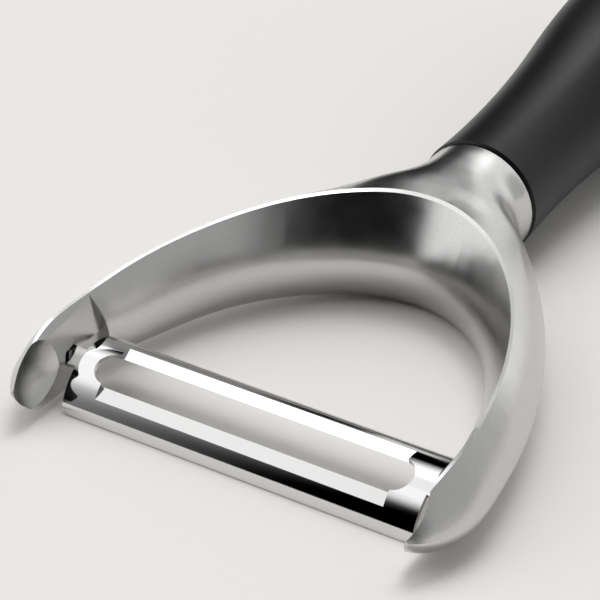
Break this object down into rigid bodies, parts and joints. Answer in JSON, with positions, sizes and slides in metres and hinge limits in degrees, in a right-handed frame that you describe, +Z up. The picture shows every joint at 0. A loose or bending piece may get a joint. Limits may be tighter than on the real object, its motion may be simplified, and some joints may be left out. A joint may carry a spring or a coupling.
{
  "type": "vegetable peeler",
  "caption": "Y-shaped peeler: cast metal horseshoe head with a swivelling slotted blade across its arms, and a round soft-gripped handle for pulling the blade over fruit and vegetables.",
  "frame": {"origin": "centre of the bounding box's foot, on the floor the peeler lies on", "axes": "+X along the blade's pivot axis, +Y along the handle away from the blade, +Z up, the side the blade's crest faces"},
  "size_m": [0.0656, 0.1606, 0.0254],
  "materials": {
    "satin_cast_metal": "satin, fine-grained",
    "polished_steel": "mirror polished",
    "core_plastic": "matt moulded",
    "soft_grip": "soft matt"
  },
  "bodies": {
    "peeler": {"head_frame": "satin_cast_metal", "handle_core": "core_plastic", "grip_sleeve": "soft_grip"},
    "blade": {"blade": "polished_steel"}
  },
  "joints": [
    {"name": "blade_swing", "type": "hinge", "parent": "peeler", "child": "blade", "pos_m": [0, -0.06939, 0.00548], "axis": [1, 0, 0], "range_deg": [-48.5, 11.3]}
  ]
}
